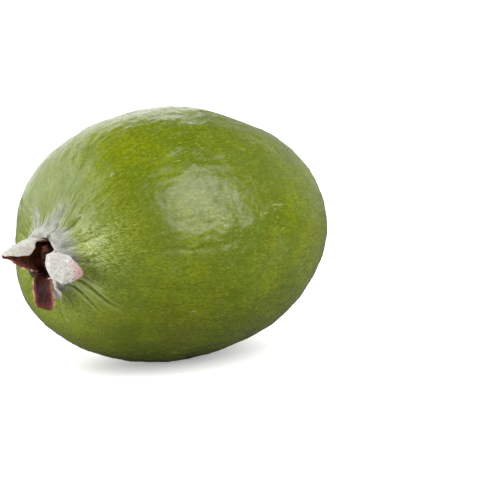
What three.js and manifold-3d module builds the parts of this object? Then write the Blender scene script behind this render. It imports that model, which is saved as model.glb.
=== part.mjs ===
// A feijoa, the egg-shaped green fruit of Acca sellowiana, lying on its side as it was picked.
// The fruit is one solid. The woolly calyx that the flower left on its nose is a second piece: a shallow
// cup with four dried sepals. Millimetres, +Z up; the fruit's long axis is X, with the calyx at the -X end.
import * as THREE from "three";
import { mergeVertices } from "three/addons/utils/BufferGeometryUtils.js";
import Module from "manifold-3d";

const wasm = await Module();
wasm.setup();

// Driving dimensions of the fruit.
const FRUIT_LENGTH = 66;
const FRUIT_DIAMETER = 45;
const EGG_SHAPE = 0.03; // how much fuller the calyx half is than the stem half
const NOSE_FLAT = 0.12; // how much shorter and blunter the calyx half is
const NOSE_DROP = 0.8; // how far the nose hangs below the fruit's middle
const CALYX_SHOULDER = 0.945; // powers of the outline: under 1 is full, over 1 tapers
const STEM_SHOULDER = 1.03;
const FLAT_DEPTH = 0.3; // the skin is pressed in by this much where the fruit rests

// The collar of skin round the calyx, and the scar where the stalk came off.
const COLLAR_HEIGHT = 1;
const COLLAR_TOP_RADIUS = 4.6;
const COLLAR_FOOT_RADIUS = 8;
const SCAR_DIMPLE_DEPTH = 1.3;
const SCAR_DIMPLE_RADIUS = 4.2;
const SCAR_RADIUS = 1.7;
const SCAR_RISE = 0.5;

// The calyx cup sits in a socket in the fruit's nose, clear of it all round.
const CUP_RADIUS = 3.9;
const CUP_WALL = 0.9;
const CUP_DEPTH = 2.4;
const CUP_FLOOR = 1.1;
const LIP_RADIUS = 4.5; // the cup's lip spreads over the gap round it
const LIP_THICKNESS = 0.7;
const SEAT_GAP = 0.3;
const STYLE_RADIUS = 0.55;
const STYLE_HEIGHT = 1.7;
const STYLE_SIDES = 10;
const STYLE_LEAN = [0.3, 0.4]; // how far off the middle of the cup it stands
const SEPAL_THICKNESS = 0.75;

// Mesh fineness.
const AROUND = 72;
const CUP_AROUND = 48;
const SEPAL_ALONG = 12;
const SEPAL_ACROSS = 10;

const STEM_HALF = FRUIT_LENGTH / (2 - NOSE_FLAT);
const RADIUS = FRUIT_DIAMETER / 2;
const DEG = Math.PI / 180;

const smoothStep = (low, high, value) => THREE.MathUtils.smoothstep(value, low, high);
const bell = (distance, width) => Math.exp(-((distance / width) ** 2));

// Broad low swells and hollows of the skin: [place along X, bearing in degrees, height, width]. A bearing
// is measured round the fruit's axis from straight up, towards -Y.
const SWELLS = [
  [-24, 0, -0.3, 7],
  [-16, 5, 0.4, 8],
  [2, 0, 0.35, 7],
  [15, 3, -0.6, 8],
  [-26, -48, 0.2, 8],
  [-29, -86, -0.75, 8],
  [-25, -128, 0.45, 8],
  [-8, -90, 0.4, 11],
  [14, -75, -0.4, 10],
  [20, -130, 0.4, 11],
  [-18, 70, 0.35, 10],
  [4, 60, -0.35, 9],
  [20, 78, 0.4, 10],
  [-4, 112, 0.35, 10],
  [-17, 148, -0.4, 8],
  [18, 150, 0.3, 8],
  [29, -20, 0.4, 9],
  [30, 60, -0.35, 8],
];

// Creases that run back from the collar: [bearing in degrees, depth, reach].
const CREASES = [
  [116, 0.55, 13],
  [127, 0.7, 16],
  [139, 0.5, 14],
  [158, 0.3, 11],
  [178, 0.35, 12],
  [200, 0.3, 10],
  [226, 0.4, 12],
  [255, 0.3, 10],
  [285, 0.35, 11],
  [318, 0.4, 12],
  [342, 0.35, 9],
  [12, 0.4, 10],
  [40, 0.3, 11],
  [66, 0.35, 12],
  [92, 0.3, 10],
];
const CREASE_WIDTH = 0.75;

// The distance round the fruit from a bearing in degrees.
function roundFrom(at, radius, bearing) {
  const turn = bearing - at * DEG;
  return radius * Math.atan2(Math.sin(turn), Math.cos(turn));
}

// How far the skin stands off the smooth fruit, at a place along it, a radius and a bearing.
function skinRelief(place, radius, bearing) {
  let rise = 0;
  for (const [x, at, height, width] of SWELLS) {
    rise += height * bell(Math.hypot(place - x, roundFrom(at, radius, bearing)), width);
  }
  if (place > 0) return rise;
  rise *= smoothStep(COLLAR_TOP_RADIUS, COLLAR_FOOT_RADIUS, radius);
  for (const [at, depth, reach] of CREASES) {
    const start = smoothStep(COLLAR_TOP_RADIUS - 1, COLLAR_TOP_RADIUS + 1.5, radius);
    const end = 1 - smoothStep(reach * 0.45, reach, radius);
    rise -= depth * start * end * bell(roundFrom(at, radius, bearing), CREASE_WIDTH + 0.03 * radius);
  }
  return rise;
}

// The smooth fruit's outline at an angle along it from the nose: [radius, place along X].
function outline(along) {
  const toNose = Math.cos(along);
  const shoulder = THREE.MathUtils.lerp(CALYX_SHOULDER, STEM_SHOULDER, (1 - toNose) / 2);
  const radius = RADIUS * Math.sin(along) ** shoulder * (1 + EGG_SHAPE * toNose);
  let place = -STEM_HALF * toNose * (1 - NOSE_FLAT * Math.max(toNose, 0) ** 2);
  if (along < Math.PI / 2) {
    place -= COLLAR_HEIGHT * (1 - smoothStep(COLLAR_TOP_RADIUS, COLLAR_FOOT_RADIUS, radius));
  } else {
    place -= SCAR_DIMPLE_DEPTH * bell(radius, SCAR_DIMPLE_RADIUS);
    place += SCAR_RISE * (1 - smoothStep(SCAR_RADIUS, 1.35 * SCAR_RADIUS, radius));
  }
  return [radius, place];
}

// Angles along the fruit, closer together near both ends, where the relief is finer.
function stations() {
  const found = [0];
  let along = 0;
  while (along < Math.PI) {
    const fromEnd = Math.min(along, Math.PI - along);
    along += 0.03 + 0.055 * smoothStep(0.25, 0.7, fromEnd);
    found.push(along);
  }
  found.pop();
  if (Math.PI - found.at(-1) < 0.02) found.pop();
  return [...found, Math.PI];
}

// A three.js geometry as a manifold-3d solid.
function solidOf(geometry) {
  const bare = geometry.clone();
  bare.deleteAttribute("normal");
  bare.deleteAttribute("uv");
  const merged = mergeVertices(bare, 1e-4);
  return new wasm.Manifold(
    new wasm.Mesh({
      numProp: 3,
      vertProperties: merged.attributes.position.array,
      triVerts: new Uint32Array(merged.index.array),
    }),
  );
}

// A manifold-3d solid as a three.js geometry.
function geometryOf(solid) {
  const { vertProperties, triVerts } = solid.getMesh();
  const geometry = new THREE.BufferGeometry();
  geometry.setAttribute("position", new THREE.BufferAttribute(vertProperties, 3));
  geometry.setIndex(new THREE.BufferAttribute(triVerts, 1));
  geometry.computeVertexNormals();
  return geometry;
}

// A lathed geometry of [radius, place] points, turned so that its axis is X.
function turned(points, around) {
  const profile = points.map(([radius, place]) => new THREE.Vector2(radius, place));
  return new THREE.LatheGeometry(profile, around).rotateZ(-Math.PI / 2);
}

// How far the fruit's middle line has dropped at a place along it.
const noseDrop = (place) => NOSE_DROP * (Math.min(place, 0) / RIM_PLACE) ** 4;

// Where the calyx's cup starts: the rim of the collar.
const RIM_PLACE = outline(0)[1];

function fruitGeometry() {
  const angles = stations();
  const geometry = turned(angles.map(outline), AROUND);
  const position = geometry.getAttribute("position");
  for (let column = 0; column <= AROUND; column++) {
    for (let row = 0; row < angles.length; row++) {
      const index = column * angles.length + row;
      const radius = Math.hypot(position.getY(index), position.getZ(index));
      const bearing = Math.atan2(-position.getY(index), position.getZ(index));
      const lean = Math.cos(angles[row]);
      const rise = skinRelief(position.getX(index), radius, bearing);
      const outward = radius > 0 ? 1 + (rise * Math.sin(angles[row])) / radius : 1;
      position.setXYZ(
        index,
        position.getX(index) - rise * lean,
        position.getY(index) * outward,
        position.getZ(index) * outward - noseDrop(position.getX(index)),
      );
    }
  }
  const socketRadius = CUP_RADIUS + SEAT_GAP;
  const socketLength = 2 * (CUP_DEPTH + SEAT_GAP);
  const socket = new THREE.CylinderGeometry(socketRadius, socketRadius, socketLength, CUP_AROUND);
  socket.rotateZ(Math.PI / 2).translate(RIM_PLACE, 0, -NOSE_DROP);
  const floor = new THREE.BoxGeometry(2 * FRUIT_LENGTH, 2 * FRUIT_DIAMETER, FRUIT_DIAMETER);
  floor.translate(0, 0, -RADIUS + FLAT_DEPTH - FRUIT_DIAMETER / 2);
  return geometryOf(solidOf(geometry).subtract(solidOf(socket)).subtract(solidOf(floor)));
}

// The four dried sepals, seen from the calyx's own frame: x out of the fruit, y to the right of someone
// facing the nose, z up. Each is a blade along a midrib of hand-placed points. "inner" is the way its
// inner face looks, "width" its half width and "curl" how far its margins turn in, in degrees, each at
// even steps from root to tip.
const SEPALS = [
  {
    name: "left",
    midrib: [[-1, -3.3, 1.4], [1.2, -3.3, 2.1], [3.4, -3.2, 2.3], [5.1, -3.4, 1.8], [6.4, -3.9, 0.8]],
    inner: [[0, 0.94, -0.34], [0, 0.8, -0.6], [0, 0.66, -0.75], [-0.1, 0.52, -0.85], [-0.2, 0.45, -0.85]],
    width: [3.7, 3.9, 4.3, 4.5, 4.2, 3.2, 0.9],
    curl: [70, 82, 94, 102, 98, 86, 40],
  },
  {
    name: "right",
    midrib: [
      [-1, 3.2, 0.8], [1.4, 3.2, 0.7], [3, 3.2, 0.3], [3.4, 4.3, -0.2],
      [2.8, 5.9, -0.8], [1.7, 7.6, -1.3], [0.5, 9.1, -1.7],
    ],
    inner: [[0, -1, 0], [0.1, -1, 0], [0.95, -0.3, 0], [0.8, 0.5, 0], [0.7, 0.7, 0]],
    width: [1.7, 1.6, 1.5, 1.7, 2.5, 2.7, 2.5, 1.5, 0.3],
    curl: [30, 25, 5, -20, -30, -35, -30, -20, -10],
  },
  {
    name: "lower",
    midrib: [
      [-1, 0.3, -3.3], [0.8, 0.4, -3.5], [1.8, 1.2, -4.4],
      [1.9, 1.5, -6], [1.6, 1.4, -7.5], [1.1, 1.1, -8.6],
    ],
    inner: [[0, 0, 1], [0.5, 0.3, 0.6], [0.8, 0.55, 0], [0.85, 0.5, 0]],
    width: [1.7, 1.7, 1.8, 1.8, 1.75, 1.6, 1.2],
    curl: [35, 30, 40, 45, 45, 35, 20],
  },
  {
    name: "rear",
    midrib: [[-1, 2.1, -2.7], [0.5, 2.3, -3.2], [0.8, 2.6, -4.2], [0.4, 2.7, -5.4], [-0.3, 2.6, -6.7]],
    inner: [[0, -0.6, 0.8], [0.5, -0.3, 0.5], [0.9, 0.3, 0]],
    width: [1.4, 1.4, 1.4, 1.2, 0.5],
    curl: [30, 20, 15, 10, 5],
  },
];

const vectorOf = (numbers) => new THREE.Vector3(...numbers);

// The value at a share of the way along evenly spaced values.
function valueAt(values, share) {
  const step = Math.min(Math.floor(share * (values.length - 1)), values.length - 2);
  return THREE.MathUtils.lerp(values[step], values[step + 1], share * (values.length - 1) - step);
}

// A sepal's blade: a grid of points on its middle surface, and the way its inner face looks at each.
function bladeGrid(sepal) {
  const spine = new THREE.CatmullRomCurve3(sepal.midrib.map(vectorOf), false, "centripetal");
  const lookings = [0, 1, 2].map((axis) => sepal.inner.map((looking) => looking[axis]));
  const rows = [];
  for (let i = 0; i <= SEPAL_ALONG; i++) {
    const share = i / SEPAL_ALONG;
    const at = spine.getPointAt(share);
    const forward = spine.getTangentAt(share);
    const inner = vectorOf(lookings.map((values) => valueAt(values, share)));
    inner.addScaledVector(forward, -inner.dot(forward)).normalize();
    const side = new THREE.Vector3().crossVectors(forward, inner);
    const curl = valueAt(sepal.curl, share) * DEG;
    const bend = valueAt(sepal.width, share) / curl;
    const row = [];
    for (let j = 0; j <= SEPAL_ACROSS; j++) {
      const turn = curl * ((2 * j) / SEPAL_ACROSS - 1);
      const facing = inner.clone().multiplyScalar(Math.cos(turn)).addScaledVector(side, -Math.sin(turn));
      const point = at.clone().addScaledVector(inner, bend).addScaledVector(facing, -bend);
      row.push({ point, facing });
    }
    rows.push(row);
  }
  return rows;
}

// A blade of even thickness: its inner and outer faces, split alike, and one strip round the margin.
function sepalGeometry(sepal) {
  const grid = bladeGrid(sepal);
  const columns = SEPAL_ACROSS + 1;
  const count = grid.length * columns;
  const positions = [];
  for (const offset of [SEPAL_THICKNESS / 2, -SEPAL_THICKNESS / 2]) {
    for (const { point, facing } of grid.flat()) {
      positions.push(...point.clone().addScaledVector(facing, offset).toArray());
    }
  }
  const faces = [];
  for (let i = 0; i < SEPAL_ALONG; i++) {
    for (let j = 0; j < SEPAL_ACROSS; j++) {
      const corner = i * columns + j;
      const ahead = corner + columns;
      faces.push(corner, corner + 1, ahead, ahead, corner + 1, ahead + 1);
      faces.push(corner + count, ahead + count, corner + 1 + count);
      faces.push(ahead + count, ahead + 1 + count, corner + 1 + count);
    }
  }
  const margin = [];
  for (let j = 0; j < SEPAL_ACROSS; j++) margin.push(j);
  for (let i = 0; i < SEPAL_ALONG; i++) margin.push(i * columns + SEPAL_ACROSS);
  for (let j = SEPAL_ACROSS; j > 0; j--) margin.push(SEPAL_ALONG * columns + j);
  for (let i = SEPAL_ALONG; i > 0; i--) margin.push(i * columns);
  margin.forEach((a, k) => {
    const b = margin[(k + 1) % margin.length];
    faces.push(b, a, a + count, b, a + count, b + count);
  });
  const geometry = new THREE.BufferGeometry();
  geometry.setAttribute("position", new THREE.Float32BufferAttribute(positions, 3));
  geometry.setIndex(faces);
  return geometry;
}

// The cup with its floor, which the sepals grow from, and the dried stub of the style in its middle.
function calyxGeometry() {
  const inside = CUP_RADIUS - CUP_WALL;
  const cup = turned(
    [
      [0, CUP_DEPTH],
      [CUP_RADIUS, CUP_DEPTH],
      [CUP_RADIUS, -SEAT_GAP],
      [LIP_RADIUS, -SEAT_GAP],
      [LIP_RADIUS - 0.1, -SEAT_GAP - LIP_THICKNESS / 2],
      [CUP_RADIUS - 0.1, -SEAT_GAP - LIP_THICKNESS],
      [inside + 0.1, -SEAT_GAP - LIP_THICKNESS / 2],
      [inside, 0],
      [inside - 0.4, CUP_DEPTH - CUP_FLOOR],
      [0, CUP_DEPTH - CUP_FLOOR],
    ].map(([radius, depth]) => [radius, -depth]),
    CUP_AROUND,
  );
  let solid = solidOf(cup);
  const style = new THREE.CylinderGeometry(0.7 * STYLE_RADIUS, STYLE_RADIUS, STYLE_HEIGHT, STYLE_SIDES);
  style.rotateZ(-Math.PI / 2).translate(CUP_FLOOR - CUP_DEPTH + 0.45 * STYLE_HEIGHT, ...STYLE_LEAN);
  solid = solid.add(solidOf(style));
  for (const sepal of SEPALS) solid = solid.add(solidOf(sepalGeometry(sepal)));
  return geometryOf(solid);
}

const skin = new THREE.MeshStandardMaterial({ color: 0x73821c, roughness: 0.45, metalness: 0 });
const wool = new THREE.MeshStandardMaterial({ color: 0xc9c4b8, roughness: 0.95, metalness: 0 });

const fruit = new THREE.Mesh(fruitGeometry(), skin);
fruit.name = "fruit";

const calyx = new THREE.Mesh(calyxGeometry(), wool);
calyx.name = "calyx";
calyx.rotation.z = Math.PI;
calyx.position.set(RIM_PLACE, 0, -NOSE_DROP);

const lying = new THREE.Group();
lying.add(fruit, calyx);

// The origin is on the surface, under the middle of the whole object's box.
const box = new THREE.Box3().setFromObject(lying, true);
const middle = box.getCenter(new THREE.Vector3());
lying.position.set(-middle.x, -middle.y, -box.min.z);

const feijoa = new THREE.Group();
feijoa.add(lying);

export default feijoa;
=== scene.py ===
"""A whole feijoa lying on its side, with the dried woolly calyx of its flower still on the nose."""

import math
import random

import bmesh
import bpy
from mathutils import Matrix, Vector, noise


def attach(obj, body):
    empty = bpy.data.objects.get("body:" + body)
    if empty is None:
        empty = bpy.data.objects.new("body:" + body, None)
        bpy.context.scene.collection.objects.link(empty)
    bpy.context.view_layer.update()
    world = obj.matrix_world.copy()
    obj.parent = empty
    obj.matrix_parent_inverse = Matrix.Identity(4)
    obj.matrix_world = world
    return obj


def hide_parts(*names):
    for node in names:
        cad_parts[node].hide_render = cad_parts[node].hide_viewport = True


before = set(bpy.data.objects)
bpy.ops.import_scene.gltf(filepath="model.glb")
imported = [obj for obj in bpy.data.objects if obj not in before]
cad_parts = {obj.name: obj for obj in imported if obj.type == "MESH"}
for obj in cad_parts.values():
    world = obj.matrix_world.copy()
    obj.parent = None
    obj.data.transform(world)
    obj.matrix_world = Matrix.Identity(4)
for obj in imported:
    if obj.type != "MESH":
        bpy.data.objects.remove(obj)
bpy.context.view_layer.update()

# Camera
# A long lens at the fruit's left, a little above it. It aims past the fruit, so that the fruit lies left
# of the middle of the picture.
MM = 0.001
FRUIT_LENGTH = 66 * MM
FRUIT_DIAMETER = 45 * MM
FLAT_DEPTH = 0.3 * MM  # the skin is pressed in by this much where the fruit rests
VIEW_AZIMUTH = math.radians(-48)
VIEW_ELEVATION = math.radians(8)
VIEW_DISTANCE = 0.4
VIEW_WIDTH = 0.0897  # what the picture's width takes in at the fruit
PICTURE_SIZE = 500
MIDDLE_ACROSS = 172.5  # the pixel where the middle of the fruit's widest place shows
MIDDLE_DOWN = 233.1
MIDDLE_X = 2.15 * MM  # where the widest place is in the frame
MIDDLE_Y = -0.08 * MM

middle = Vector((MIDDLE_X, MIDDLE_Y, FRUIT_DIAMETER / 2 - FLAT_DEPTH))


def direction(azimuth, elevation):
    """The way from the fruit at an azimuth, which is 0 towards -Y, and an elevation."""
    level = math.cos(elevation)
    return Vector((math.sin(azimuth) * level, -math.cos(azimuth) * level, math.sin(elevation)))


def placed(name, data, place, target):
    """A new lamp or camera at a place, looking at a target."""
    thing = bpy.data.objects.new(name, data)
    bpy.context.scene.collection.objects.link(thing)
    thing.location = place
    thing.rotation_euler = (target - place).to_track_quat("-Z", "Y").to_euler()
    return thing


towards_camera = direction(VIEW_AZIMUTH, VIEW_ELEVATION)
camera_right = Vector((math.cos(VIEW_AZIMUTH), math.sin(VIEW_AZIMUTH), 0))
camera_up = towards_camera.cross(camera_right)
pixel = VIEW_WIDTH / PICTURE_SIZE
aim = middle + camera_right * (PICTURE_SIZE / 2 - MIDDLE_ACROSS) * pixel
aim -= camera_up * (PICTURE_SIZE / 2 - MIDDLE_DOWN) * pixel
lens = bpy.data.cameras.new("camera")
lens.lens = lens.sensor_width * VIEW_DISTANCE / VIEW_WIDTH
camera = placed("camera", lens, middle + towards_camera * VIEW_DISTANCE, aim)
bpy.context.scene.camera = camera
bpy.context.scene.view_settings.view_transform = "Standard"


# Studio
# A white table top, two large softboxes, one at the left and behind, one at the right, and a low strip at
# the left. The softboxes' mirror images are the two pale areas on the skin. White walls behind, weakly lit,
# give the upper edge its pale rim.
FLOOR_SIZE = 6.0
FLOOR_NEAR = 0.1  # the table's own glow starts here and is full at FLOOR_FAR
FLOOR_FAR = 0.5
FLOOR_GLOW_NEAR = 0.32
FLOOR_SOFT = 0.47
FLOOR_MIRRORED = 0.14
LAMP_DISTANCE = 0.6
LAMPS = {
    "softbox_left": {"azimuth": -134, "elevation": 34, "width": 0.62, "height": 0.54, "watts": 3.2},
    "softbox_right": {"azimuth": 17, "elevation": 35, "width": 0.56, "height": 0.58, "watts": 5.0},
    "strip_left": {"azimuth": -112, "elevation": 5, "width": 0.5, "height": 0.12, "watts": 2.7},
    "backdrop_left": {"azimuth": 164, "elevation": 23, "width": 0.9, "height": 0.52, "watts": 2.2},
    "backdrop_right": {"azimuth": 100, "elevation": 15, "width": 0.6, "height": 0.36, "watts": 0.3},
}
SKY_SEEN = 1.0
SKY_MIRRORED = 0.02
SKY_SOFT = 0.4


def paint(red, green, blue):
    """A colour given as it looks on a screen, 0 to 255, as the linear one that a shader takes."""
    shares = [value / 255 for value in (red, green, blue)]
    return (*[((v + 0.055) / 1.055) ** 2.4 if v > 0.04 else v / 12.92 for v in shares], 1.0)


def put(tree, value, spot):
    """Gives a shader node's input a number, a colour, or another node's output."""
    if isinstance(value, bpy.types.NodeSocket):
        tree.links.new(value, spot)
    else:
        spot.default_value = value


def add(tree, kind, **inputs):
    """A shader node with some of its inputs set, each by its name or by _ and its number."""
    made = tree.nodes.new(kind)
    for label, value in inputs.items():
        put(tree, value, made.inputs[int(label[1:]) if label[0] == "_" else label.replace("_", " ")])
    return made


def blank_material(name):
    """A new material with no nodes yet."""
    material = bpy.data.materials.new(name)
    material.use_nodes = True
    material.node_tree.nodes.clear()
    return material


def ranged(tree, value, low, high, start=0.0, end=1.0):
    """A value that runs smoothly from start to end as another goes from low to high."""
    made = add(tree, "ShaderNodeMapRange", Value=value)
    made.interpolation_type = "SMOOTHSTEP"
    for label, number in (("From Min", low), ("From Max", high), ("To Min", start), ("To Max", end)):
        put(tree, number, made.inputs[label])
    return made.outputs["Result"]


def combined(tree, operation, first, second):
    """Two values joined by a Math node's operation."""
    made = add(tree, "ShaderNodeMath", _0=first, _1=second)
    made.operation = operation
    return made.outputs[0]


def times(tree, first, second):
    """Two values multiplied."""
    return combined(tree, "MULTIPLY", first, second)


def table_material():
    """Matt white with a glow that only the camera sees; to the fruit it is a light grey."""
    material = blank_material("table_white")
    tree = material.node_tree
    place = add(tree, "ShaderNodeTexCoord").outputs["Object"]
    length = add(tree, "ShaderNodeVectorMath", _0=place)
    length.operation = "LENGTH"
    glow = ranged(tree, length.outputs["Value"], FLOOR_NEAR, FLOOR_FAR, FLOOR_GLOW_NEAR, 1.0)
    white = add(tree, "ShaderNodeBsdfPrincipled", Base_Color=(0.86, 0.86, 0.85, 1), Roughness=0.6)
    white.inputs["Emission Color"].default_value = (1, 1, 1, 1)
    tree.links.new(glow, white.inputs["Emission Strength"])
    ray = add(tree, "ShaderNodeLightPath").outputs
    shade = ranged(tree, ray["Is Glossy Ray"], 0, 1, FLOOR_SOFT, FLOOR_MIRRORED)
    grey = add(tree, "ShaderNodeBsdfDiffuse", Color=shade)
    seen = ray["Is Camera Ray"]
    shader = add(tree, "ShaderNodeMixShader", Fac=seen, _1=grey.outputs[0], _2=white.outputs[0])
    add(tree, "ShaderNodeOutputMaterial", Surface=shader.outputs[0])
    return material


def new_piece(name, mesh, *materials):
    """A bmesh made into an object in the scene, with its materials."""
    data = bpy.data.meshes.new(name)
    mesh.to_mesh(data)
    mesh.free()
    for material in materials:
        data.materials.append(material)
    data.shade_smooth()
    piece = bpy.data.objects.new(name, data)
    bpy.context.scene.collection.objects.link(piece)
    return piece


table = bmesh.new()
bmesh.ops.create_grid(table, x_segments=1, y_segments=1, size=FLOOR_SIZE / 2)
new_piece("table", table, table_material())

for name, lamp in LAMPS.items():
    light = bpy.data.lights.new(name, "AREA")
    light.shape = "RECTANGLE"
    light.size = lamp["width"]
    light.size_y = lamp["height"]
    light.energy = lamp["watts"]
    way = direction(math.radians(lamp["azimuth"]), math.radians(lamp["elevation"]))
    placed(name, light, middle + way * LAMP_DISTANCE, middle).visible_camera = False

sky = bpy.data.worlds.new("sky")
sky.use_nodes = True
sky.node_tree.nodes.clear()
ray = add(sky.node_tree, "ShaderNodeLightPath")
mirrored = ranged(sky.node_tree, ray.outputs["Is Glossy Ray"], 0, 1, SKY_SOFT, SKY_MIRRORED)
seen = times(sky.node_tree, ray.outputs["Is Camera Ray"], SKY_SEEN)
strength = combined(sky.node_tree, "MAXIMUM", mirrored, seen)
glow = add(sky.node_tree, "ShaderNodeBackground", Color=(1, 1, 1, 1), Strength=strength)
add(sky.node_tree, "ShaderNodeOutputWorld", Surface=glow.outputs[0])
bpy.context.scene.world = sky


# Fruit
# The egg-shaped body with its tough green skin. It grew as one piece: a collar stands round the calyx,
# creases run back from the collar, and the stalk left a small corky scar in a dimple at the other end.
EGG_SHAPE = 0.03
NOSE_FLAT = 0.12
NOSE_DROP = 0.8 * MM
CALYX_SHOULDER = 0.945
STEM_SHOULDER = 1.03
COLLAR_HEIGHT = 1 * MM
COLLAR_TOP_RADIUS = 4.6 * MM
COLLAR_FOOT_RADIUS = 8 * MM
SCAR_DIMPLE_DEPTH = 1.3 * MM
SCAR_DIMPLE_RADIUS = 4.2 * MM
SCAR_RADIUS = 1.7 * MM
SCAR_EDGE = 1.35  # how far out the scar has sunk to the skin, in its own radius
SCAR_RISE = 0.5 * MM
SOCKET_RADIUS = 4.2 * MM
SOCKET_DEPTH = 2.7 * MM
STEM_HALF = FRUIT_LENGTH / (2 - NOSE_FLAT)
FRUIT_RADIUS = FRUIT_DIAMETER / 2
SKIN_AROUND = 384
SKIN_ALONG = 250
NOSE_END = 1.0  # what belongs to the nose lies before this angle along the fruit
RIPPLE_HEIGHT = 0.19 * MM  # low waves that run with the fruit
RIPPLE_SIZE = 3.2 * MM
RIPPLE_STRETCH = 0.4
PEBBLE_HEIGHT = 0.06 * MM  # the fine unevenness of the skin
PEBBLE_SIZE = 1.3 * MM
CALM_RADIUS = 6 * MM  # nearer to the axis than this the skin gets smoother
COLLAR_EDGE = (COLLAR_TOP_RADIUS - 1 * MM, COLLAR_TOP_RADIUS + 1.5 * MM)  # where folds and creases begin
FOLD_DEPTH = 0.09 * MM  # fine folds round the collar
FOLD_SIZE = 2.1 * MM
FOLD_STRETCH = 0.5
FOLD_END = (7 * MM, 17 * MM)
# Broad swells and hollows: place along X in mm from the widest place, bearing in degrees, height, width.
# A bearing is measured round the fruit's axis from straight up, towards -Y.
SWELLS = [
    (-24, 0, -0.3, 7),
    (-16, 5, 0.4, 8),
    (2, 0, 0.35, 7),
    (15, 3, -0.6, 8),
    (-26, -48, 0.2, 8),
    (-29, -86, -0.75, 8),
    (-25, -128, 0.45, 8),
    (-8, -90, 0.4, 11),
    (14, -75, -0.4, 10),
    (20, -130, 0.4, 11),
    (-18, 70, 0.35, 10),
    (4, 60, -0.35, 9),
    (20, 78, 0.4, 10),
    (-4, 112, 0.35, 10),
    (-17, 148, -0.4, 8),
    (18, 150, 0.3, 8),
    (29, -20, 0.4, 9),
    (30, 60, -0.35, 8),
]
# Creases that run back from the collar: bearing in degrees, depth and reach in mm.
CREASES = [
    (116, 0.55, 13),
    (127, 0.7, 16),
    (139, 0.5, 14),
    (158, 0.3, 11),
    (178, 0.35, 12),
    (200, 0.3, 10),
    (226, 0.4, 12),
    (255, 0.3, 10),
    (285, 0.35, 11),
    (318, 0.4, 12),
    (342, 0.35, 9),
    (12, 0.4, 10),
    (40, 0.3, 11),
    (66, 0.35, 12),
    (92, 0.3, 10),
]
CREASE_WIDTH = 0.75 * MM
CREASE_SPREAD = 0.03
CREASE_LINE = 0.22 * MM  # the sharp line along the bottom of a crease
CREASE_LINE_DEPTH = 0.6
RIDGE_HIGHLIGHT_SHARE = 0.6  # how much the painted highlight on a crease's paler sides counts against the painted shade of its dark line
CREASE_BEND = 2.5  # in degrees
CREASE_BEND_SIZE = 2.3 * MM
CREASE_FADE = (0.55, 1.15)  # the shares of its reach between which a crease runs out
# Where the calyx's wool runs out over the skin, and where a thinner down makes it look frosted: bearing and
# spread in degrees, reach from the axis in mm, and how thick it is.
WOOL_FANS = [
    (-38, 8, 13.5, 1.0),
    (7, 9, 11, 1.0),
    (-18, 22, 7.3, 0.65),
    (40, 26, 7.2, 0.6),
    (85, 35, 7, 0.6),
    (130, 40, 6.5, 0.6),
    (-78, 26, 7, 0.6),
    (155, 20, 6.2, 0.5),
]
FROST_FANS = [
    (78, 32, 19, 1.0),
    (112, 22, 17, 0.6),
    (170, 60, 19, 0.5),
    (-110, 60, 16, 0.3),
]


def smooth_step(low, high, value):
    """0 below low, 1 above high and a smooth rise between."""
    share = min(max((value - low) / (high - low), 0), 1)
    return share * share * (3 - 2 * share)


def mix(start, end, share):
    """The value at a share of the way from start to end."""
    return start + (end - start) * share


def bell(distance, width):
    """1 in the middle, falling off to nothing past the width."""
    return math.exp(-((distance / width) ** 2))


def round_from(degrees, radius, bearing):
    """The distance round the fruit from a bearing in degrees."""
    turn = bearing - math.radians(degrees)
    return radius * math.atan2(math.sin(turn), math.cos(turn))


def outline(along):
    """The smooth fruit's radius, and its place on X, at an angle along it from the nose."""
    to_nose = math.cos(along)
    shoulder = mix(CALYX_SHOULDER, STEM_SHOULDER, (1 - to_nose) / 2)
    radius = FRUIT_RADIUS * max(math.sin(along), 0) ** shoulder * (1 + EGG_SHAPE * to_nose)
    place = -STEM_HALF * to_nose * (1 - NOSE_FLAT * max(to_nose, 0) ** 2)
    if to_nose > 0:
        place -= COLLAR_HEIGHT * (1 - smooth_step(COLLAR_TOP_RADIUS, COLLAR_FOOT_RADIUS, radius))
    else:
        place -= SCAR_DIMPLE_DEPTH * bell(radius, SCAR_DIMPLE_RADIUS)
        place += SCAR_RISE * (1 - smooth_step(SCAR_RADIUS, SCAR_EDGE * SCAR_RADIUS, radius))
    return radius, place


RIM_PLACE = outline(0)[1]


def creasing(radius, bearing, width):
    """How deep the creases of a given width are at a place near the collar."""
    start = smooth_step(*COLLAR_EDGE, radius)
    deep = 0
    for degrees, depth, reach in CREASES:
        end = 1 - smooth_step(reach * CREASE_FADE[0] * MM, reach * CREASE_FADE[1] * MM, radius)
        bend = CREASE_BEND * math.sin(radius / CREASE_BEND_SIZE + degrees)
        deep += depth * MM * start * end * bell(round_from(degrees + bend * end, radius, bearing), width)
    return deep


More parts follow.
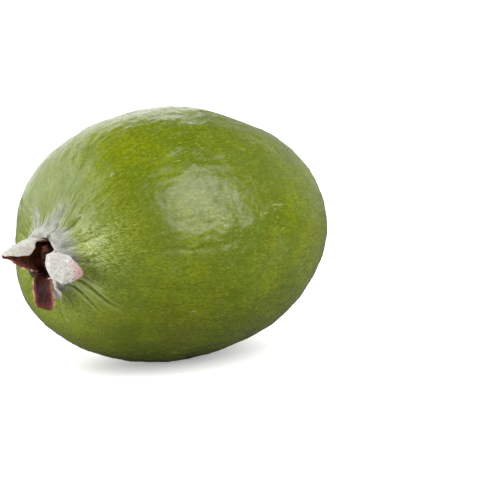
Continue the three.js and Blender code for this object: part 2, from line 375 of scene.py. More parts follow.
def skin_relief(along, place, radius, bearing):
    """How far the skin stands off the smooth fruit: swells, creases, ripples, folds and pebbling."""
    rise = 0
    for x, degrees, height, width in SWELLS:
        away = math.hypot(place - x * MM, round_from(degrees, radius, bearing))
        rise += height * MM * bell(away, width * MM)
    meridian = Vector((math.cos(bearing), math.sin(bearing), 0)) * FRUIT_RADIUS
    meridian.z = along * STEM_HALF
    grain = Vector((meridian.x, meridian.y, meridian.z * RIPPLE_STRETCH))
    wave = noise.fractal(grain / RIPPLE_SIZE, 0.7, 2.1, 4)
    spot = Vector((place, radius * math.cos(bearing), radius * math.sin(bearing)))
    pebble = noise.fractal(spot / PEBBLE_SIZE, 0.7, 2.0, 3)
    calm = smooth_step(0, CALM_RADIUS, radius) * mix(0.1, 1, math.sin(along) ** 1.5)
    if place <= 0:
        rise *= smooth_step(COLLAR_TOP_RADIUS, COLLAR_FOOT_RADIUS, radius)
        rise -= creasing(radius, bearing, CREASE_WIDTH + CREASE_SPREAD * radius)
        rise -= creasing(radius, bearing, CREASE_LINE) * CREASE_LINE_DEPTH
        fold = noise.noise(Vector((meridian.x, meridian.y, meridian.z * FOLD_STRETCH)) / FOLD_SIZE)
        start = smooth_step(*COLLAR_EDGE, radius)
        rise -= FOLD_DEPTH * start * (1 - smooth_step(*FOLD_END, radius)) * abs(fold) * 2
    return rise + (RIPPLE_HEIGHT * wave + PEBBLE_HEIGHT * pebble) * calm


def fanned(fans, along, radius, bearing):
    """How thick the wool or the frost is at a place on the skin, from 0 to 1."""
    most = 0
    for degrees, spread, reach, thickness in fans:
        turn = round_from(degrees, 1, bearing)
        near = bell(turn, math.radians(spread)) * (1 - smooth_step(COLLAR_TOP_RADIUS, reach * MM, radius))
        most = max(most, near * thickness)
    return most if along < NOSE_END else 0


def skin_point(along, bearing, lift=0.0):
    """A point of the skin, or one that stands off it by a lift."""
    radius, place = outline(along)
    rise = skin_relief(along, place, radius, bearing) + lift
    place_now = place - rise * math.cos(along)
    radius_now = radius + rise * math.sin(along)
    drop = NOSE_DROP * (min(place, 0) / RIM_PLACE) ** 4
    point = Vector((place_now, -radius_now * math.sin(bearing), radius_now * math.cos(bearing) - drop))
    return point + middle


skin = bmesh.new()
bmesh.ops.create_uvsphere(skin, u_segments=SKIN_AROUND, v_segments=SKIN_ALONG, radius=1)
meridian_layer = skin.verts.layers.float_vector.new("meridian")
wool_layer = skin.verts.layers.float.new("woolliness")
frost_layer = skin.verts.layers.float.new("frost")
crease_shading_layer = skin.verts.layers.float.new("crease")
for vert in skin.verts:
    along = math.acos(min(max(-vert.co.z, -1), 1))
    bearing = math.atan2(vert.co.y, vert.co.x)
    radius = outline(along)[0]
    meridian = Vector((math.cos(bearing), math.sin(bearing), 0)) * FRUIT_RADIUS
    vert[meridian_layer] = (meridian.x, meridian.y, along * STEM_HALF)
    vert[wool_layer] = fanned(WOOL_FANS, along, radius, bearing)
    vert[frost_layer] = fanned(FROST_FANS, along, radius, bearing)
    # The crease value is painted light for the skin's colour: above 0 it is painted shade along a crease's
    # dark line, below 0 a painted highlight on the crease's sides.
    painted_crease_shade = creasing(radius, bearing, CREASE_LINE)
    painted_ridge_highlight = RIDGE_HIGHLIGHT_SHARE * creasing(radius, bearing, CREASE_WIDTH)
    vert[crease_shading_layer] = (painted_crease_shade - painted_ridge_highlight) / MM if along < NOSE_END else 0
    vert.co = skin_point(along, bearing)
    if along < NOSE_END and radius < SOCKET_RADIUS:
        vert.co.x = middle.x + RIM_PLACE + SOCKET_DEPTH
    vert.co.z = max(vert.co.z, 0)
bmesh.ops.recalc_face_normals(skin, faces=skin.faces)


def fibre_group():
    """A node group: fine streaks that run along the third axis of the vector that it is given."""
    group = bpy.data.node_groups.new("fibres", "ShaderNodeTree")
    group.interface.new_socket("Vector", in_out="INPUT", socket_type="NodeSocketVector")
    for label in ("Across", "Along", "Low", "High"):
        group.interface.new_socket(label, in_out="INPUT", socket_type="NodeSocketFloat")
    group.interface.new_socket("Mask", in_out="OUTPUT", socket_type="NodeSocketFloat")
    given = group.nodes.new("NodeGroupInput").outputs
    scale = add(group, "ShaderNodeCombineXYZ", X=given["Across"], Y=given["Across"], Z=given["Along"])
    stretched = add(group, "ShaderNodeVectorMath", _0=given["Vector"], _1=scale.outputs[0])
    stretched.operation = "MULTIPLY"
    grain = add(group, "ShaderNodeTexNoise", Vector=stretched.outputs[0], Scale=1.0, Detail=4.0)
    grain.inputs["Roughness"].default_value = 0.6
    mask = ranged(group, grain.outputs["Fac"], given["Low"], given["High"])
    add(group, "NodeGroupOutput", Mask=mask)
    return group


fibres = fibre_group()


def streaks(tree, vector, across, along, low, high):
    """The fibre group placed in a material, with streaks per metre across and along."""
    made = tree.nodes.new("ShaderNodeGroup")
    made.node_tree = fibres
    tree.links.new(vector, made.inputs["Vector"])
    for label, value in (("Across", across), ("Along", along), ("Low", low), ("High", high)):
        made.inputs[label].default_value = value
    return made.outputs["Mask"]


def blend(tree, share, first, second):
    """A colour between two, by a share: a number or a mask."""
    made = tree.nodes.new("ShaderNodeMix")
    made.data_type = "RGBA"
    for number, value in ((0, share), (6, first), (7, second)):
        put(tree, value, made.inputs[number])
    return made.outputs[2]


def cloud(tree, vector, scale, detail, low, high):
    """A mask of soft patches, with so many to the metre."""
    made = add(tree, "ShaderNodeTexNoise", Vector=vector, Scale=scale, Detail=detail)
    return ranged(tree, made.outputs["Fac"], low, high)


def kept(tree, name):
    """What a piece's mesh keeps under a name."""
    attribute = tree.nodes.new("ShaderNodeAttribute")
    attribute.attribute_name = name
    return attribute.outputs


OLIVE_HEIGHTS = (6 * MM, 26 * MM)  # olive stains are plainest below the first and faint above the second
SCAR_PAINT = (3.6 * MM, 2.4 * MM)  # the cork colour comes in between these distances from the stalk's middle
WAX = 0.19  # the roughness of clean skin


def skin_material():
    """Tough waxy skin: yellow green with darker and greyer patches, pale streaks, down and a cork scar, with
    painted shade along the creases and painted highlights on their sides.
    """
    material = blank_material("feijoa_skin")
    tree = material.node_tree
    place = add(tree, "ShaderNodeTexCoord").outputs["Object"]
    meridian = kept(tree, "meridian")["Vector"]
    from_nose = add(tree, "ShaderNodeSeparateXYZ", Vector=meridian).outputs["Z"]
    woolly = kept(tree, "woolliness")["Fac"]
    frosted = kept(tree, "frost")["Fac"]
    crease_shading = kept(tree, "crease")["Fac"]

    patches = cloud(tree, place, 95.0, 9.0, 0.4, 0.6)
    colour = blend(tree, patches, paint(92, 112, 8), paint(157, 166, 4))
    cool = cloud(tree, place, 290.0, 7.0, 0.46, 0.6)
    colour = blend(tree, times(tree, cool, 0.6), colour, paint(90, 122, 28))
    height = add(tree, "ShaderNodeSeparateXYZ", Vector=place).outputs["Z"]
    olive = times(tree, cloud(tree, place, 130.0, 8.0, 0.46, 0.6), 0.85)
    olive = times(tree, olive, ranged(tree, height, *OLIVE_HEIGHTS, 1.0, 0.3))
    colour = blend(tree, olive, colour, paint(130, 108, 20))
    grain = streaks(tree, meridian, 2900.0, 1500.0, 0.44, 0.58)
    colour = blend(tree, times(tree, grain, 0.75), colour, paint(66, 88, 8))
    light = streaks(tree, meridian, 2800.0, 1100.0, 0.5, 0.64)
    clustered = ranged(tree, cloud(tree, place, 140.0, 6.0, 0.4, 0.6), 0, 1, 0.35, 0.8)
    light = times(tree, light, clustered)
    colour = blend(tree, light, colour, paint(172, 188, 76))
    bloom = cloud(tree, place, 150.0, 7.0, 0.55, 0.72)
    bloom = times(tree, bloom, 0.36)
    colour = blend(tree, bloom, colour, paint(126, 142, 92))
    pale = streaks(tree, meridian, 2100.0, 400.0, 0.54, 0.7)
    colour = blend(tree, times(tree, pale, 0.35), colour, paint(164, 174, 70))
    dark = streaks(tree, meridian, 1900.0, 420.0, 0.34, 0.46)
    colour = blend(tree, times(tree, dark, 0.3), paint(86, 100, 4), colour)
    scuffs = streaks(tree, meridian, 1000.0, 170.0, 0.66, 0.72)
    colour = blend(tree, times(tree, scuffs, 0.3), colour, paint(186, 192, 140))
    pores = add(tree, "ShaderNodeTexVoronoi", Vector=place, Scale=620.0)
    chosen = add(tree, "ShaderNodeSeparateXYZ", Vector=pores.outputs["Color"]).outputs["X"]
    pores = ranged(tree, pores.outputs["Distance"], 0.04, 0.14, 1.0, 0.0)
    pores = times(tree, pores, ranged(tree, chosen, 0.2, 1.0, 0.0, 0.3))
    colour = blend(tree, pores, colour, paint(172, 180, 110))
    # Painted shade: the dark line of each crease is darkened in the colour.
    colour = blend(tree, ranged(tree, crease_shading, 0.02, 0.2, 0.0, 0.9), colour, paint(60, 76, 36))
    # Painted highlight: the sides of each crease are lightened in the colour.
    colour = blend(tree, ranged(tree, crease_shading, -0.25, -0.03, 0.4, 0.0), colour, paint(168, 180, 118))

    frost = streaks(tree, meridian, 3500.0, 1200.0, 0.4, 0.64)
    frost = times(tree, frost, times(tree, frosted, 0.9))
    colour = blend(tree, frost, colour, paint(188, 200, 118))
    down = streaks(tree, meridian, 1500.0, 240.0, 0.3, 0.62)
    down = times(tree, down, woolly)
    colour = blend(tree, times(tree, down, 0.6), colour, paint(192, 196, 172))

    scar_edge = [math.pi * STEM_HALF - away for away in SCAR_PAINT]
    scar = ranged(tree, from_nose, *scar_edge)
    cork = blend(tree, cloud(tree, place, 900.0, 3.0, 0.4, 0.6), paint(74, 58, 36), paint(130, 108, 74))
    colour = blend(tree, scar, colour, cork)

    dull = ranged(tree, bloom, 0, 0.36, WAX, 0.3)
    for mask, full, roughness in ((frost, 0.8, 0.42), (down, 1, 0.9), (scar, 1, 0.9)):
        dull = combined(tree, "MAXIMUM", dull, ranged(tree, mask, 0, full, WAX, roughness))

    fine = add(tree, "ShaderNodeTexNoise", Vector=place, Scale=1600.0, Detail=6.0, Roughness=0.75)
    height = combined(tree, "ADD", fine.outputs["Fac"], times(tree, grain, 0.3))
    bump = add(tree, "ShaderNodeBump", Height=height, Strength=0.4, Distance=0.08 * MM)
    shader = add(tree, "ShaderNodeBsdfPrincipled", Base_Color=colour, Roughness=dull, IOR=1.46)
    gloss = times(tree, ranged(tree, light, 0, 1, 1.0, 0.85), ranged(tree, grain, 0, 1, 1.0, 0.82))
    tree.links.new(times(tree, gloss, 0.52), shader.inputs["Specular IOR Level"])
    tree.links.new(bump.outputs[0], shader.inputs["Normal"])
    add(tree, "ShaderNodeOutputMaterial", Surface=shader.outputs[0])
    return material


fruit = new_piece("fruit_skin", skin, skin_material())
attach(fruit, "root")
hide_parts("fruit")


# Calyx cup
# The short tube that the flower's parts stood on, dried hard: a shallow cup sunk in the nose. It is brown
# inside, with the stub of the style in the middle, and woolly on its lip, which is bare at the lower left
# and in a notch at the top.
CUP_RADIUS = 3.9 * MM
CUP_WALL = 0.9 * MM
CUP_DEPTH = 2.4 * MM
CUP_FLOOR = 1.1 * MM
SEAT_GAP = 0.3 * MM
LIP_RADIUS = 4.5 * MM
LIP_THICKNESS = 0.7 * MM
CUP_AROUND = 120
STYLE_RADIUS = 0.55 * MM
STYLE_HEIGHT = 1.7 * MM
STYLE_LEAN = (0.3 * MM, 0.4 * MM)
STYLE_BASE = 1.2 * MM  # within this the floor rises to the style
CRUMPLE = 0.12 * MM
CRUMPLE_SIZE = 1.1 * MM
CRUMPLE_SEED = 5  # without a seed noise_vector gives another pattern in each run
CRUMPLE_FROM = (-1.4 * MM, 0.3 * MM)  # how far out of the fruit it sets in and is full
LEAN_FROM = (-1.4 * MM, 0.2 * MM)  # the same of the style's lean
NOTCH_BEARING = 14  # in degrees, where the hood and the right sepal part
NOTCH_SPREAD = 20
NOTCH_DEPTH = 0.45 * MM
NOTCH_START = 0.5 * MM  # how far inside the opening's edge it starts
NOTCH_BARE = 0.8  # the share of its spread that has lost its wool
HOLLOW_EDGE = 0.55 * MM  # how far past the opening's edge the brown reaches
HOLLOW_UNDER = 0.3 * MM  # and how far under the level of the floor
BARE_LIP = (165, 300)  # the bearings between which the lip's inner edge has lost its wool
BARE_LIP_WHOLE = (170, 295)  # and those between which all of it has
BARE_EDGE = 0.35 * MM

rim = middle + Vector((RIM_PLACE, 0, -NOSE_DROP))


def from_calyx(out, across, up):
    """A point in the calyx's own frame: out of the fruit, to the right of someone facing it, and up."""
    return rim + Vector((-out, -across, up))


def bumped(tree, place, scale, strength, depth, ridges=0.0):
    """A normal with fine lumps, so many to the metre, and ridges where a mask is given."""
    fine = add(tree, "ShaderNodeTexNoise", Vector=place, Scale=scale, Detail=4.0)
    height = combined(tree, "ADD", fine.outputs["Fac"], ridges)
    return add(tree, "ShaderNodeBump", Height=height, Strength=strength, Distance=depth).outputs[0]


def dry_surface(tree, colour, roughness, shine, fuzz=0.0):
    """The last nodes of a material of the dried calyx, and its shader."""
    shader = add(tree, "ShaderNodeBsdfPrincipled", Base_Color=colour, Roughness=roughness)
    shader.inputs["Specular IOR Level"].default_value = shine
    shader.inputs["Sheen Weight"].default_value = fuzz
    add(tree, "ShaderNodeOutputMaterial", Surface=shader.outputs[0])
    return shader


def wool_material():
    """Short matted white wool with grey-brown patches."""
    material = blank_material("calyx_wool")
    tree = material.node_tree
    place = add(tree, "ShaderNodeTexCoord").outputs["Object"]
    felt = cloud(tree, place, 2300.0, 4.0, 0.3, 0.7)
    colour = blend(tree, felt, paint(160, 155, 145), paint(192, 188, 181))
    tinge = cloud(tree, place, 420.0, 3.0, 0.5, 0.7)
    colour = blend(tree, times(tree, tinge, 0.4), colour, paint(164, 144, 126))
    shader = dry_surface(tree, colour, 0.95, 0.2, 0.4)
    tree.links.new(bumped(tree, place, 2600.0, 0.9, 0.3 * MM), shader.inputs["Normal"])
    return material


def brown_material():
    """The bare inside of the dried calyx: dark brown with rusty fibres."""
    material = blank_material("calyx_inside")
    tree = material.node_tree
    place = add(tree, "ShaderNodeTexCoord").outputs["Object"]
    rust = cloud(tree, place, 520.0, 5.0, 0.4, 0.68)
    colour = blend(tree, rust, paint(48, 22, 13), paint(106, 52, 22))
    shade = cloud(tree, place, 300.0, 3.0, 0.45, 0.65)
    colour = blend(tree, times(tree, shade, 0.6), colour, paint(58, 30, 32))
    shader = dry_surface(tree, colour, 0.6, 0.25)
    tree.links.new(bumped(tree, place, 2200.0, 0.7, 0.12 * MM), shader.inputs["Normal"])
    return material


wool = wool_material()
brown = brown_material()

cup = bmesh.new()
inside = CUP_RADIUS - CUP_WALL
lip_top = SEAT_GAP + LIP_THICKNESS
profile = [
    (0, -CUP_DEPTH),
    (CUP_RADIUS, -CUP_DEPTH),
    (CUP_RADIUS, SEAT_GAP),
    (LIP_RADIUS, SEAT_GAP),
    (LIP_RADIUS, SEAT_GAP + LIP_THICKNESS * 0.2),
    (CUP_RADIUS, SEAT_GAP + LIP_THICKNESS * 0.8),
    (CUP_RADIUS - 0.4 * MM, lip_top),
    (inside, 0.3 * MM),
    (inside - 0.1 * MM, -0.5 * MM),
    (inside - 0.4 * MM, CUP_FLOOR - CUP_DEPTH),
    (STYLE_BASE, CUP_FLOOR - CUP_DEPTH - 0.15 * MM),
    (STYLE_RADIUS * 1.2, CUP_FLOOR - CUP_DEPTH),
    (STYLE_RADIUS, CUP_FLOOR - CUP_DEPTH + 0.3 * MM),
    (STYLE_RADIUS * 0.7, CUP_FLOOR - CUP_DEPTH + STYLE_HEIGHT * 0.85),
    (0, CUP_FLOOR - CUP_DEPTH + STYLE_HEIGHT),
]
corners = [cup.verts.new((out, 0, radius)) for radius, out in profile]
sides = [cup.edges.new(pair) for pair in zip(corners, corners[1:])]
bmesh.ops.spin(
    cup, geom=corners + sides, cent=(0, 0, 0), axis=(1, 0, 0), angle=2 * math.pi,
    steps=CUP_AROUND, use_merge=True,
)
bmesh.ops.remove_doubles(cup, verts=cup.verts, dist=0.001 * MM)
bmesh.ops.subdivide_edges(cup, edges=[e for e in cup.edges if e.calc_length() > 0.5 * MM], cuts=2)
noise.seed_set(CRUMPLE_SEED)
for vert in cup.verts:
    out, across, up = vert.co
    away = math.hypot(across, up)
    wobble = noise.noise_vector(Vector((out, across, up)) / CRUMPLE_SIZE) * CRUMPLE
    moved = Vector((out, across, up)) + wobble * smooth_step(*CRUMPLE_FROM, out)
    notch = bell(round_from(NOTCH_BEARING, 1, math.atan2(across, up)), math.radians(NOTCH_SPREAD))
    moved.x -= NOTCH_DEPTH * notch * smooth_step(inside - NOTCH_START, inside, away) * (out > 0)
    lean = bell(away, STYLE_BASE) * smooth_step(*LEAN_FROM, out)
    vert.co = from_calyx(moved.x, moved.y + STYLE_LEAN[0] * lean, moved.z + STYLE_LEAN[1] * lean)
bmesh.ops.recalc_face_normals(cup, faces=cup.faces)
if cup.calc_volume(signed=True) < 0:
    bmesh.ops.reverse_faces(cup, faces=cup.faces)
for face in cup.faces:
    centre = face.calc_center_median() - rim
    away = math.hypot(centre.y, centre.z)
    bearing = math.degrees(math.atan2(-centre.y, centre.z)) % 360
    hollow = away < inside + HOLLOW_EDGE and -centre.x > CUP_FLOOR - CUP_DEPTH - HOLLOW_UNDER
    notched = abs(bearing - NOTCH_BEARING) < NOTCH_SPREAD * NOTCH_BARE
    bare_to = LIP_RADIUS if BARE_LIP_WHOLE[0] < bearing < BARE_LIP_WHOLE[1] else CUP_RADIUS + BARE_EDGE
    bare = (BARE_LIP[0] < bearing < BARE_LIP[1] or notched) and away < bare_to
    if hollow or bare:
        face.material_index = 1
calyx_cup = new_piece("calyx_cup", cup, wool, brown)
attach(calyx_cup, "root")
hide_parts("calyx")


# Dried stamens
# What the flower's many stamens left in the cup: brown threads that stand in a ring on its floor, some
# broken short, and a clump of them stuck together at the upper right.
STAMEN_SEED = 11
STAMENS = 70
STAMEN_RADIUS = 0.07 * MM
STAMEN_SIDES = 5
STAMEN_STEPS = 6
STAMEN_RING = (1.7 * MM, 2.75 * MM)
STAMEN_LENGTH = (0.8 * MM, 2.6 * MM)
STAMEN_LEAN = (-0.3, 0.35)  # middle and spread, as shares of the length; below 0 is inwards
STAMEN_SWING = 0.4
STAMEN_ROOT = 0.2 * MM  # how deep in the floor they start
STAMEN_THICKNESS = (0.6, 1.3)  # as shares of the radius
THINNING = 0.7  # how much of its radius a thread loses towards its tip
CLUMP_PLACE = (0.85 * MM, 1.15 * MM, 1.25 * MM)  # out of the cup, to the right and up
CLUMP_SIZE = (1.2, 0.75, 1.0)  # how it is drawn out in the same three ways
CLUMP_RADIUS = 1.05 * MM
CLUMP_LUMPS = 0.5
CLUMP_FINENESS = 1.8

chance = random.Random(STAMEN_SEED)


def strand(mesh, path, radius, sides):
    """A thread along a path that thins to a point."""
    rings = []
    for k, at in enumerate(path[:-1]):
        ahead = (path[k + 1] - at).normalized()
        side = ahead.orthogonal().normalized()
        other = ahead.cross(side)
        size = radius * (1 - THINNING * k / (len(path) - 1))
        ring = []
        for turn in range(sides):
            angle = 2 * math.pi * turn / sides
            ring.append(mesh.verts.new(at + side * math.cos(angle) * size + other * math.sin(angle) * size))
        rings.append(ring)
    tip = mesh.verts.new(path[-1])
    for ring, after in zip(rings, rings[1:]):
        for turn in range(sides):
            beside = (turn + 1) % sides
            mesh.faces.new((ring[turn], ring[beside], after[beside], after[turn]))
    for turn in range(sides):
        mesh.faces.new((rings[-1][turn], rings[-1][(turn + 1) % sides], tip))
    mesh.faces.new(rings[0][::-1])


stamens = bmesh.new()
for _ in range(STAMENS):
    bearing = chance.uniform(0, 2 * math.pi)
    radius = chance.uniform(*STAMEN_RING)
    length = chance.uniform(*STAMEN_LENGTH)
    lean = chance.gauss(*STAMEN_LEAN)
    swing = chance.gauss(0, STAMEN_SWING)
    path = []
    for k in range(STAMEN_STEPS):
        share = k / (STAMEN_STEPS - 1)
        out = CUP_FLOOR - CUP_DEPTH - STAMEN_ROOT + length * share
        away = radius + length * lean * share**2
        turn = bearing + swing * share**2
        path.append(from_calyx(out, away * math.sin(turn), away * math.cos(turn)))
    strand(stamens, path, STAMEN_RADIUS * chance.uniform(*STAMEN_THICKNESS), STAMEN_SIDES)
clump = bmesh.ops.create_icosphere(stamens, subdivisions=4, radius=1)
for vert in clump["verts"]:
    way = vert.co.normalized()
    lump = noise.fractal(way * CLUMP_FINENESS, 0.8, 2.0, 3)
    size = CLUMP_RADIUS * (1 + CLUMP_LUMPS * lump)
    spot = [place + size * part * drawn for place, part, drawn in zip(CLUMP_PLACE, way, CLUMP_SIZE)]
    vert.co = from_calyx(*spot)
dried_stamens = new_piece("dried_stamens", stamens, brown)
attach(dried_stamens, "root")
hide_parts("calyx")


# Sepals
# Four dried blades that grow from the cup's lip. The left one is a hood over the opening, the right one
# lies back over the skin, the lower one hangs down, and the rear one is tucked behind it. Each is thin
# and woolly outside. The left and lower ones are bare and brown inside, the others woolly on both faces.
WOOLLY_INSIDE = ("right", "rear")
SEPAL_ALONG = 44
SEPAL_ACROSS = 28
SEPAL_THICKNESS = 0.4 * MM
CRINKLE = 0.16 * MM
CRINKLE_SIZE = 1.6  # in mm
CRINKLE_FROM = (0.1, 0.3)  # where along a sepal it sets in and is full
FRAY = 0.1
FRAY_WAVES = (9, 2)  # along a sepal and across it
PATH_FINENESS = 32
# Points are in the calyx's own frame, in mm from the middle of the cup's rim. Each list of
# "inner", "width" and "curl" has even steps from root to tip. "skew" is by how much of its length a blade
# is shorter along one margin than along the other. "lobes" are where a margin stands further out or in:
# which margin, by what share of the width, where along the blade, and how far along it.
SEPALS = {
    "left": {
        "midrib": [(-1, -2.8, 2.1), (1.2, -3.0, 2.5), (3.4, -3.2, 2.4), (5.1, -3.4, 1.8), (6.4, -3.9, 0.8)],
        "inner": [
            (0, 0.8, -0.6), (0, 0.74, -0.68), (0, 0.66, -0.75),
            (-0.1, 0.52, -0.85), (-0.2, 0.45, -0.85),
        ],
        "width": [3.7, 3.9, 4.3, 4.5, 4.2, 3.2, 1.2],
        "curl": [70, 82, 94, 102, 98, 86, 40],
        "skew": 0.0,
        "lobes": [(-1, 0.5, 0.0, 0.45), (1, 0.08, 0.65, 0.15), (1, -0.26, 0.34, 0.16)],
    },
    "right": {
        "midrib": [
            (-1, 3.2, 0.8), (1.4, 3.2, 0.7), (3, 3.2, 0.3), (3.4, 4.3, -0.2),
            (2.8, 5.9, -0.8), (1.7, 7.6, -1.3), (0.5, 9.1, -1.7),
        ],
        "inner": [(0, -1, 0), (0.1, -1, 0), (0.95, -0.3, 0), (0.8, 0.5, 0), (0.7, 0.7, 0)],
        "width": [1.7, 1.6, 1.5, 1.7, 2.45, 2.65, 2.5, 1.65, 0.35],
        "curl": [30, 25, 5, -20, -30, -35, -30, -20, -10],
        "skew": 0.0,
        "lobes": [(-1, -0.5, 0.27, 0.14)],
    },
    "lower": {
        "midrib": [
            (-1, 0.3, -3.3), (0.8, 0.4, -3.5), (1.8, 1.2, -4.4),
            (1.9, 1.5, -6), (1.6, 1.4, -7.5), (1.1, 1.1, -8.6),
        ],
        "inner": [(0, 0, 1), (0.5, 0.3, 0.6), (0.8, 0.55, 0), (0.85, 0.5, 0)],
        "width": [1.7, 1.7, 1.8, 1.85, 1.85, 1.7, 0.95],
        "curl": [35, 30, 40, 45, 45, 35, 20],
        "skew": 0.13,
        "lobes": [],
    },
    "rear": {
        "midrib": [(-1, 2.1, -2.7), (0.5, 2.3, -3.2), (0.8, 2.6, -4.2), (0.4, 2.7, -5.4), (-0.3, 2.6, -6.7)],
        "inner": [(0, -0.6, 0.8), (0.5, -0.3, 0.5), (0.9, 0.3, 0)],
        "width": [1.4, 1.4, 1.4, 1.2, 0.5],
        "curl": [30, 20, 15, 10, 5],
        "skew": 0.0,
        "lobes": [],
    },
}


def value_at(values, share):
    """The value at a share of the way along evenly spaced values."""
    step = min(int(share * (len(values) - 1)), len(values) - 2)
    return values[step] + (values[step + 1] - values[step]) * (share * (len(values) - 1) - step)


def smooth_path(points, steps):
    """Evenly spaced points, and the way ahead at each, on a smooth curve through a few points."""
    known = [points[0] * 2 - points[1], *points, points[-1] * 2 - points[-2]]
    dense = []
    for a, b, c, d in zip(known, known[1:], known[2:], known[3:]):
        first, second, third = [max((q - p).length, 1e-9) ** 0.5 for p, q in ((a, b), (b, c), (c, d))]
        leave = ((b - a) / first - (c - a) / (first + second) + (c - b) / second) * second
        arrive = ((c - b) / second - (d - b) / (second + third) + (d - c) / third) * second
        for k in range(PATH_FINENESS):
            t = k / PATH_FINENESS
            bend = 2 * t**3 - 3 * t**2
            dense.append(b * (bend + 1) + leave * (t**3 - 2 * t**2 + t) - c * bend + arrive * (t**3 - t**2))
    dense.append(points[-1])
    reached = [0.0]
    for p, q in zip(dense, dense[1:]):
        reached.append(reached[-1] + (q - p).length)
    found = []
    place = 0
    for k in range(steps + 1):
        goal = reached[-1] * k / steps
        while place < len(dense) - 2 and reached[place + 1] < goal:
            place += 1
        step = (goal - reached[place]) / (reached[place + 1] - reached[place])
        here, beyond = dense[place:place + 2]
        found.append((here.lerp(beyond, step), (beyond - here).normalized()))
    return found


def sepal_point(sepal, path, across, share, seed):
    """A point of a sepal's middle surface, and the way that its inner face looks."""
    for margin, amount, at, spread in sepal["lobes"]:
        if across * margin > 0:
            across *= 1 + amount * bell(share - at, spread)
    share -= sepal["skew"] * share**4 * max(across, 0)
    step = min(int(share * SEPAL_ALONG), SEPAL_ALONG - 1)
    rest = share * SEPAL_ALONG - step
    at = path[step][0].lerp(path[step + 1][0], rest)
    forward = path[step][1].lerp(path[step + 1][1], rest).normalized()
    inner = value_at([Vector(looking) for looking in sepal["inner"]], share)
    inner = (inner - forward * inner.dot(forward)).normalized()
    side = forward.cross(inner)
    waves = Vector((share * FRAY_WAVES[0], across * FRAY_WAVES[1], seed))
    fray = 1 + FRAY * noise.noise(waves) * abs(across)
    curl = math.radians(value_at(sepal["curl"], share))
    bend = value_at(sepal["width"], share) * fray / curl
    turn = curl * across
    facing = inner * math.cos(turn) - side * math.sin(turn)
    point = at + inner * bend - facing * bend
    crinkle = noise.fractal(point / CRINKLE_SIZE + Vector((seed, 0, 0)), 0.8, 2.0, 3)
    point += facing * crinkle * CRINKLE / MM * smooth_step(*CRINKLE_FROM, share)
    return point, facing


def sepal_blade(sepal, path, seed):
    """The middle surface of a sepal, with its own coordinates kept as an attribute."""
    blade = bmesh.new()
    bmesh.ops.create_grid(blade, x_segments=SEPAL_ACROSS, y_segments=SEPAL_ALONG, size=0.5)
    layer = blade.verts.layers.float_vector.new("blade")
    for vert in blade.verts:
        share = vert.co.y + 0.5
        across = vert.co.x * 2
        vert[layer] = (across, share, seed)
        vert.co = from_calyx(*(sepal_point(sepal, path, across, share, seed)[0] * MM))
    bmesh.ops.reverse_faces(blade, faces=blade.faces)
    return blade


def bleached_material():
    """The inner face of a sepal that is woolly on both: white wool with dark specks, and a pink tip."""
    material = blank_material("sepal_bleached")
    tree = material.node_tree
    place = add(tree, "ShaderNodeTexCoord").outputs["Object"]
    share = add(tree, "ShaderNodeSeparateXYZ", Vector=kept(tree, "blade")["Vector"]).outputs["Y"]
    felt = cloud(tree, place, 2300.0, 4.0, 0.3, 0.7)
    colour = blend(tree, felt, paint(178, 173, 166), paint(206, 203, 199))
    tip = times(tree, ranged(tree, share, 0.72, 0.98), cloud(tree, place, 500.0, 3.0, 0.3, 0.6))
    colour = blend(tree, tip, colour, paint(182, 134, 128))
    speck = add(tree, "ShaderNodeTexVoronoi", Vector=place, Scale=1700.0)
    dots = ranged(tree, speck.outputs["Distance"], 0.14, 0.26, 1.0, 0.0)
    chosen = add(tree, "ShaderNodeSeparateXYZ", Vector=speck.outputs["Color"]).outputs["X"]
    dots = times(tree, dots, ranged(tree, chosen, 0.25, 0.3))
    dots = times(tree, dots, ranged(tree, share, 0.42, 0.66))
    colour = blend(tree, times(tree, dots, 0.85), colour, paint(88, 62, 52))
    shader = dry_surface(tree, colour, 0.95, 0.2, 0.4)
    tree.links.new(bumped(tree, place, 2600.0, 0.9, 0.3 * MM), shader.inputs["Normal"])
    return material


def sepal_inside_material():
    """A sepal's bare inner face: dark purple brown in the middle, rusty to pink along its margins."""
    material = blank_material("sepal_inside")
    tree = material.node_tree
    place = add(tree, "ShaderNodeTexCoord").outputs["Object"]
    blade = kept(tree, "blade")["Vector"]
    split = add(tree, "ShaderNodeSeparateXYZ", Vector=blade)
    margin = add(tree, "ShaderNodeMath", _0=split.outputs["X"])
    margin.operation = "ABSOLUTE"
    veins = streaks(tree, blade, 7.0, 2.0, 0.38, 0.62)
    colour = blend(tree, veins, paint(46, 20, 20), paint(92, 44, 32))
    rusty = times(tree, cloud(tree, place, 600.0, 5.0, 0.4, 0.6), 0.8)
    rusty = times(tree, rusty, ranged(tree, split.outputs["Z"], 0, 2, 1.0, 0.2))
    colour = blend(tree, rusty, colour, paint(124, 66, 26))
    blotch = cloud(tree, place, 420.0, 4.0, 0.4, 0.65)
    colour = blend(tree, times(tree, blotch, 0.7), colour, paint(60, 28, 36))
    tip = times(tree, ranged(tree, split.outputs["Y"], 0.72, 1.0), 0.7)
    colour = blend(tree, tip, colour, paint(128, 66, 60))
    edge = ranged(tree, margin.outputs[0], 0.62, 0.95)
    colour = blend(tree, times(tree, edge, 0.75), colour, paint(150, 92, 70))
    shader = dry_surface(tree, colour, 0.6, 0.25)
    tree.links.new(bumped(tree, place, 2200.0, 0.7, 0.12 * MM, veins), shader.inputs["Normal"])
    return material


def sepal_edge_material():
    """The dried edge of a sepal, ochre with rusty stretches."""
    material = blank_material("sepal_edge")
    tree = material.node_tree
    place = add(tree, "ShaderNodeTexCoord").outputs["Object"]
    rust = cloud(tree, place, 700.0, 4.0, 0.4, 0.62)
    colour = blend(tree, rust, paint(196, 164, 134), paint(136, 82, 60))
    dry_surface(tree, colour, 0.85, 0.25)
    return material


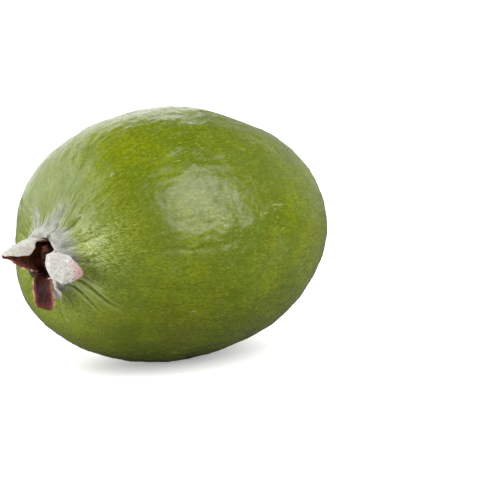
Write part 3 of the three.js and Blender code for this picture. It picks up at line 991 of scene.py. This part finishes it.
bleached = bleached_material()
sepal_inside = sepal_inside_material()
sepal_edge = sepal_edge_material()
for seed, (name, sepal) in enumerate(SEPALS.items()):
    path = smooth_path([Vector(point) for point in sepal["midrib"]], SEPAL_ALONG)
    blade = sepal_blade(sepal, path, seed)
    inner_face, edge = (bleached, bleached) if name in WOOLLY_INSIDE else (sepal_inside, sepal_edge)
    piece = new_piece("sepal_" + name, blade, wool, inner_face, edge)
    shell = piece.modifiers.new("thickness", "SOLIDIFY")
    shell.thickness = SEPAL_THICKNESS
    shell.offset = 0
    shell.material_offset = 1
    shell.material_offset_rim = 2
    rounding = piece.modifiers.new("rounding", "SUBSURF")
    rounding.levels = rounding.render_levels = 1
    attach(piece, "root")
    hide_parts("calyx")


# Wool
# Fine matted hairs. They run from the calyx out over the collar, thickest in two fans above it, and lie on
# the woolly faces of the sepals.
WOOL_SEED = 4
COLLAR_HAIRS = 3000
SEPAL_HAIRS = {"left": 700, "right": 700, "lower": 300, "rear": 120}
HAIR_RADIUS = 0.02 * MM
HAIR_SIDES = 3
HAIR_STEPS = 4
HAIR_LENGTH = (0.7 * MM, 2.1 * MM)
HAIR_THICKNESS = (0.7, 1.3)  # as shares of the radius
HAIR_CROWDING = 1.8  # 1 would spread them evenly; above it they crowd near the calyx
HAIR_FADE = 1.5  # how fast they thin out towards the edge of the wool
HAIR_SWERVE = 0.22
HAIR_CURL = 0.3
# The sepals' own hairs, with lengths in mm as the sepals have.
FELT_LENGTH = (0.3, 0.9)
FELT_THICKNESS = (0.6, 1.1)
FELT_LIFT = 0.12
FELT_ALONG = (0.05, 0.93)  # where along a sepal they grow
FELT_ACROSS = (-0.97, 0.97)
FELT_SWERVE = 0.9
FELT_OUTSIDE = 0.4  # the share of them that grows outside where both faces are woolly
SEPAL_SPAN = (9, 3)  # about a sepal's length and half its width
HAIR_START = 0.14  # how far along the fruit from the nose they grow, as an angle in radians
HAIR_END = 0.64
HAIR_LIFT = 0.14 * MM
LIP_COVER = 1.15 * MM  # how high above the skin they pass over the cup's lip
LIP_END = 6.2 * MM

chance = random.Random(WOOL_SEED)


def hair_material():
    """Dry white hairs with a grey-green cast."""
    material = blank_material("wool_hair")
    tree = material.node_tree
    place = add(tree, "ShaderNodeTexCoord").outputs["Object"]
    felt = cloud(tree, place, 900.0, 3.0, 0.3, 0.7)
    colour = blend(tree, felt, paint(188, 191, 176), paint(222, 224, 214))
    dry_surface(tree, colour, 0.8, 0.2, 0.5)
    return material


hair = hair_material()
collar_wool = bmesh.new()
grown = 0
while grown < COLLAR_HAIRS:
    along = mix(HAIR_START, HAIR_END, chance.random() ** HAIR_CROWDING)
    bearing = chance.uniform(-math.pi, math.pi)
    if chance.random() > fanned(WOOL_FANS, along, outline(along)[0], bearing) ** HAIR_FADE:
        continue
    length = chance.uniform(*HAIR_LENGTH)
    swerve = chance.gauss(0, HAIR_SWERVE)
    curl = chance.gauss(0, HAIR_CURL)
    lift = chance.random() ** 2 * HAIR_LIFT
    path = []
    for k in range(HAIR_STEPS):
        share = k / (HAIR_STEPS - 1)
        lean = swerve + curl * share
        here = along + share * length * math.cos(lean) / FRUIT_RADIUS
        radius = max(outline(here)[0], 1 * MM)
        height = lift * (0.2 + share) + LIP_COVER * (1 - smooth_step(CUP_RADIUS, LIP_END, radius))
        path.append(skin_point(here, bearing + share * length * math.sin(lean) / radius, height))
    strand(collar_wool, path, HAIR_RADIUS * chance.uniform(*HAIR_THICKNESS), HAIR_SIDES)
    grown += 1
collar_wool = new_piece("collar_wool", collar_wool, hair)

sepal_wool = bmesh.new()
for seed, (name, sepal) in enumerate(SEPALS.items()):
    ribs = smooth_path([Vector(point) for point in sepal["midrib"]], SEPAL_ALONG)
    for _ in range(SEPAL_HAIRS[name]):
        share = chance.uniform(*FELT_ALONG)
        across = chance.uniform(*FELT_ACROSS)
        length = chance.uniform(*FELT_LENGTH)
        turn = chance.gauss(0, FELT_SWERVE)
        face = -1 if name not in WOOLLY_INSIDE or chance.random() < FELT_OUTSIDE else 1
        path = []
        for k in range(HAIR_STEPS):
            step = k / (HAIR_STEPS - 1) * length
            there = min(share + step * math.cos(turn) / SEPAL_SPAN[0], 0.99)
            sideways = min(max(across + step * math.sin(turn) / SEPAL_SPAN[1], -1), 1)
            point, facing = sepal_point(sepal, ribs, sideways, there, seed)
            height = SEPAL_THICKNESS / MM / 2 + FELT_LIFT * (k / (HAIR_STEPS - 1) - 0.1)
            path.append(from_calyx(*((point + facing * face * height) * MM)))
        strand(sepal_wool, path, HAIR_RADIUS * chance.uniform(*FELT_THICKNESS), HAIR_SIDES)
sepal_wool = new_piece("sepal_wool", sepal_wool, hair)
for piece in (collar_wool, sepal_wool):
    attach(piece, "root")
    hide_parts("calyx")
